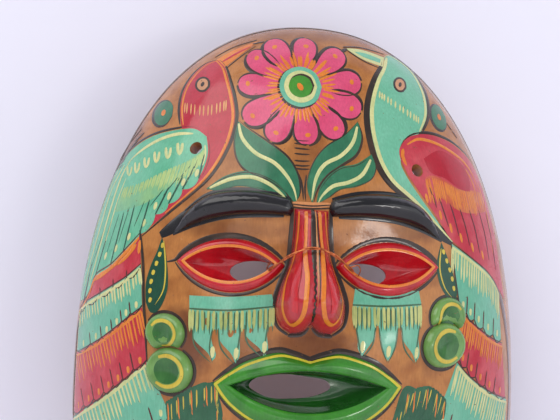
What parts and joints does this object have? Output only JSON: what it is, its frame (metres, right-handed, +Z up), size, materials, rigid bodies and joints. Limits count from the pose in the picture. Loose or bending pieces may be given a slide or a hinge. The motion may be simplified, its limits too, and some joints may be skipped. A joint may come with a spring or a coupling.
{
  "type": "mexican folk art mask",
  "caption": "Domed earthenware wall mask of a face, with painted birds and a flower on its brow, luted features, pierced eyes and mouth, and a wire to hang it.",
  "frame": {"origin": "the point of the wall where the nail stands, behind the bridge of the nose, on the plane of the rim", "axes": "+Z up, the mask faces -Y, +X is to the right of a viewer who looks at the face; the rim lies on the plane Y = 0"},
  "size_m": [0.216, 0.0961, 0.27],
  "materials": {
    "painted_clay": "burnished slip under gloss varnish",
    "black_slip": "gloss varnish",
    "red_slip": "gloss varnish",
    "green_slip": "gloss varnish",
    "lime_slip": "gloss varnish",
    "copper_wire": "dull drawn copper"
  },
  "bodies": {
    "mask": {"face_shell": "painted_clay", "nose": "red_slip", "upper_lip": "green_slip", "lower_lip": "green_slip", "brow_left": "black_slip", "brow_right": "black_slip", "eye_surround_left": "red_slip", "eye_surround_right": "red_slip", "ear_left": "lime_slip", "ear_right": "lime_slip", "ear_spool_left": "lime_slip", "ear_spool_right": "lime_slip"},
    "hanger": {"hanging_wire": "copper_wire", "wire_eye": "copper_wire"}
  },
  "joints": [
    {"name": "hanger_swing", "type": "hinge", "parent": "mask", "child": "hanger", "pos_m": [0, -0.08313, -0.013], "axis": [1, 0, 0], "range_deg": [-4, 4]}
  ]
}
